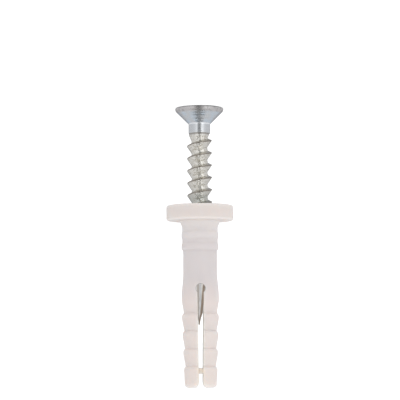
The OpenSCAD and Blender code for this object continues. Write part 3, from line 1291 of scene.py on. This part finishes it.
    def thread_sizes(self) -> dict[str, Feed]:
        """What the thread's node tree takes, by the names of its inputs."""
        return {
            "Turns": float(self.thread_turns),
            "Pitch": self.thread_pitch,
            "Core Radius": self.core_d / 2,
            "Tooth Height": self.tooth_h,
            "Bottom": self.thread_bottom_z,
            "Start Angle": math.radians(self.thread_angle),
            "Fade Turns": self.thread_fade,
            "Neck Radius": self.neck_d / 2,
            "Neck Bottom": self.neck_z + self.neck_round / 2,
            "Neck Round": self.neck_round,
            "Runout Radius": self.runout_d / 2,
            "Runout Length": self.runout_l,
            "Turn Steps": self.turn_steps,
            "Tooth Steps": self.tooth_steps,
            "Material": self.plate,
        }

    def thread_tree(self) -> tuple[bpy.types.NodeTree, dict[str, str]]:
        """Makes the node tree that winds the tooth up its helix.

        Returns:
            The tree, and the identifier of each named input.
        """
        tree = bpy.data.node_groups.new("sawtooth_thread", "GeometryNodeTree")
        graph = Graph(tree)
        kinds = {"Turn Steps": "Int", "Tooth Steps": "Int", "Material": "Material"}
        names = {}
        for name in self.thread_sizes():
            kind = "NodeSocket" + kinds.get(name, "Float")
            socket = tree.interface.new_socket(name=name, in_out="INPUT", socket_type=kind)
            names[name] = socket.identifier
        tree.interface.new_socket(name="Geometry", in_out="OUTPUT", socket_type="NodeSocketGeometry")
        size = graph.node("NodeGroupInput").outputs

        # A flat sheet with one spare turn at each end: x counts turns, y runs up one pitch
        spread = graph.math("ADD", size["Turns"], 2.0)
        sheet = graph.node("GeometryNodeMeshGrid", {
            "Size X": spread,
            "Size Y": 1.0,
            "Vertices X": graph.math("MULTIPLY_ADD", spread, size["Turn Steps"], 1.0),
            "Vertices Y": graph.math("ADD", size["Tooth Steps"], 1.0),
        })
        x, y, _ = graph.axes(graph.node("GeometryNodeInputPosition").outputs[0])
        turn = graph.math("ADD", x, graph.times(size["Turns"], 0.5))
        rise = graph.math("ADD", y, 0.5)

        # The tooth's height on the sheet, faded out at both ends
        tooth = graph.node("ShaderNodeFloatCurve", {"Value": rise})
        self.shape_tooth(tooth)
        left = graph.math("SUBTRACT", size["Turns"], turn)
        fade = graph.math("DIVIDE", graph.math("MINIMUM", turn, left), size["Fade Turns"], clamp=True)
        height = graph.times(tooth.outputs[0], fade)

        # Wind the sheet round the axis, clamp its spare turns into two rings, let the neck swallow it
        rows = graph.math("ADD", size["Turns"], 1.0)
        top = graph.math("MULTIPLY_ADD", rows, size["Pitch"], size["Bottom"])
        helix = graph.math("MULTIPLY_ADD", graph.math("ADD", turn, rise), size["Pitch"], size["Bottom"])
        z = graph.math("MINIMUM", graph.math("MAXIMUM", helix, size["Bottom"]), top)
        r = graph.math("MULTIPLY_ADD", height, size["Tooth Height"], size["Core Radius"])
        for length, wide in (("Runout Length", "Runout Radius"), ("Neck Round", "Neck Radius")):
            low = graph.math("SUBTRACT", size["Neck Bottom"], size[length])
            stem_r = graph.ease(z, low, size["Neck Bottom"], size["Core Radius"], size[wide])
            r = graph.math("MAXIMUM", r, stem_r)
        angle = graph.math("MULTIPLY_ADD", turn, 2 * math.pi, size["Start Angle"])
        wound = graph.node("ShaderNodeCombineXYZ", {
            "X": graph.times(r, graph.math("COSINE", angle)),
            "Y": graph.times(r, graph.math("SINE", angle)),
            "Z": z,
        })

        shape = sheet.outputs["Mesh"]
        for kind, feeds in (
            ("GeometryNodeStoreNamedAttribute", {"Name": "tooth", "Value": height}),
            ("GeometryNodeSetPosition", {"Position": wound.outputs[0]}),
            ("GeometryNodeMergeByDistance", {"Distance": WELD}),
            ("GeometryNodeRealizeInstances", {}),
            ("GeometryNodeSetMaterial", {"Material": size["Material"]}),
        ):
            shape = graph.node(kind, {"Geometry": shape, **feeds}).outputs[0]
        graph.node("NodeGroupOutput", {0: shape})
        return tree, names

    def shape_tooth(self, curve: bpy.types.Node) -> None:
        """Draws the tooth on a Float Curve node, from its root up along one pitch."""
        hollow_top = self.thread_pitch - self.root_land
        flank_top = hollow_top - self.root_hollow
        crest_top = flank_top - self.upper_flank
        shape = (
            (0.0, 0.0),
            (crest_top - self.crest_land, 1.0),
            (crest_top, 1.0),
            (flank_top, self.root_hollow_h / self.tooth_h),
            (hollow_top, 0.0),
            (self.thread_pitch, 0.0),
        )
        points = curve.mapping.curves[0].points
        while len(points) < len(shape):
            points.new(0.5, 0.5)
        for point, (z, share) in zip(points, shape):
            point.location = (z / self.thread_pitch, share)
            point.handle_type = "VECTOR"
        curve.mapping.update()

    def thread(self) -> bpy.types.Mesh:
        """Winds the thread by its node tree and turns it into a plain mesh."""
        tree, names = self.thread_tree()
        carrier = stand("thread", bpy.data.meshes.new("thread"))
        winding = carrier.modifiers.new("thread", "NODES")
        winding.node_group = tree
        for name, value in self.thread_sizes().items():
            winding[names[name]] = value
        mesh = applied(carrier)
        carrier.modifiers.remove(winding)
        bpy.data.objects.remove(carrier)
        return mesh

    def __post_init__(self) -> None:
        """Makes the finish, which the thread's node tree needs."""
        self.plate = ZincPlate().material(self)

    def dress(self, piece: bpy.types.Object) -> None:
        """Gives the screw its finish and its place in the frame."""
        piece.data.materials.clear()
        piece.data.materials.append(self.plate)
        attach(piece, Body.SCREW.value)
        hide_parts("hammer_screw")


@dataclass
class Studio:
    """Plain white studio: floor, soft light all round and the camera.

    The horizon says what metal mirrors at each bearing, as shares of a turn from behind the plug.
    """

    floor_z: float
    floor_r: float = 3.0
    floor_tone: float = 0.6
    floor_glow: float = 0.62
    eye: tuple[float, float, float] = (-6.2, -300.0, -24.0)
    aim: tuple[float, float, float] = (0.04, 0.0, 3.451)
    lens: float = 163.55
    roll: float = 0.33
    clip: Point = (0.01, 20.0)
    near_light: float = 1.10
    far_light: float = 0.78
    side_light: float = 0.35
    head_light: float = 0.97
    leg_light: float = 1.0
    end_light: float = 0.95
    backdrop: float = 1.1
    zenith: float = 0.3
    zenith_edge: Point = (0.92, 0.965)
    horizon: tuple[Stop, ...] = (
        (0.0, (0.40, 0.40, 0.42)),
        (0.07, (0.46, 0.46, 0.48)),
        (0.12, (0.76, 0.76, 0.77)),
        (0.30, (0.82, 0.82, 0.83)),
        (0.395, (0.98, 0.98, 0.99)),
        (0.42, (1.25, 1.25, 1.25)),
        (0.44, (0.95, 0.95, 0.95)),
        (0.458, (0.36, 0.36, 0.36)),
        (0.538, (0.36, 0.36, 0.36)),
        (0.555, (1.45, 1.45, 1.45)),
        (0.610, (1.30, 1.30, 1.30)),
        (0.645, (0.95, 0.95, 0.96)),
        (0.720, (0.82, 0.82, 0.83)),
        (0.88, (0.76, 0.76, 0.77)),
        (0.93, (0.46, 0.46, 0.48)),
        (1.0, (0.40, 0.40, 0.42)),
    )

    def floor(self) -> bpy.types.Object:
        """Lays the floor under the screw's head."""
        disc = bmesh.new()
        bmesh.ops.create_circle(disc, cap_ends=True, segments=96, radius=self.floor_r)
        data = bpy.data.meshes.new("floor")
        disc.to_mesh(data)
        disc.free()
        data.transform(Matrix.Translation((0, 0, self.floor_z)))
        material, graph, surface = shader("floor_white")
        graph.fill(surface, {
            "Base Color": grey(self.floor_tone),
            "Roughness": 1.0,
            "Specular IOR Level": 0.0,
            "Emission Color": grey(1.0),
            "Emission Strength": self.floor_glow,
        })
        data.materials.append(material)
        piece = stand("floor", data)
        piece.visible_glossy = False
        piece.visible_diffuse = False
        return piece

    def light(self) -> None:
        """Sets the light all round: even for soft surfaces, with darker stretches for metal."""
        world = bpy.data.worlds.new("studio")
        bpy.context.scene.world = world
        world.use_nodes = True
        graph = Graph(world.node_tree)
        x, y, z = graph.axes(graph.node("ShaderNodeTexCoord").outputs["Generated"])
        bearing = graph.math("ARCTAN2", graph.times(x, -1.0), graph.times(y, -1.0))
        share = graph.math("MULTIPLY_ADD", bearing, 0.5 / math.pi, 0.5)
        cap = graph.ease(z, *self.zenith_edge)
        mirrored = graph.mix(cap, graph.ramp(share, list(self.horizon)), grey(self.zenith))
        ahead = graph.line(graph.math("ADD", y, graph.times(x, self.side_light)), 1.0, -1.0)
        even = graph.mix(ahead, grey(self.far_light), grey(self.near_light))
        head_end = graph.ease(z, -self.end_light, 0.0, self.head_light, 1.0)
        leg_end = graph.ease(z, 0.0, self.end_light, 1.0, self.leg_light)
        shaded = graph.mix(1.0, even, graph.times(head_end, leg_end), "MULTIPLY")
        ray = graph.node("ShaderNodeLightPath").outputs
        soft = graph.mix(ray["Is Glossy Ray"], shaded, mirrored)
        seen = graph.mix(ray["Is Camera Ray"], soft, grey(self.backdrop))
        background = graph.node("ShaderNodeBackground", {"Color": seen})
        graph.node("ShaderNodeOutputWorld", {"Surface": background.outputs[0]})

    def camera(self) -> None:
        """Places the camera at the photograph's angle, with the head at the top of the picture."""
        eye, aim = TO_ROW @ Vector(self.eye), TO_ROW @ Vector(self.aim)
        roll = math.radians(self.roll)
        up = TO_ROW.to_3x3() @ Vector((math.sin(roll), 0, math.cos(roll)))
        back = (eye - aim).normalized()
        right = up.cross(back).normalized()
        pose = Matrix((right, back.cross(right), back)).transposed().to_4x4()
        pose.translation = eye
        data = bpy.data.cameras.new("camera")
        data.lens = self.lens
        data.clip_start, data.clip_end = self.clip
        piece = stand("camera", data)
        piece.matrix_world = pose
        bpy.context.scene.camera = piece

    def build(self) -> None:
        """Sets up the whole studio."""
        self.camera()
        self.light()
        self.floor()
        bpy.context.scene.view_settings.view_transform = "Standard"


def main() -> None:
    """Builds the studio and the two pieces."""
    logging.basicConfig(level=logging.INFO, format="%(name)s: %(message)s")
    Studio(floor_z=CAD_BOX[0].z).build()
    screw = HammerScrew.from_frame()
    for maker in (PlugSleeve.from_frame(screw), screw):
        piece = maker.build()
        maker.dress(piece)
        log.info("%s: %d faces", piece.name, len(piece.data.polygons))


if __name__ == "__main__":
    main()
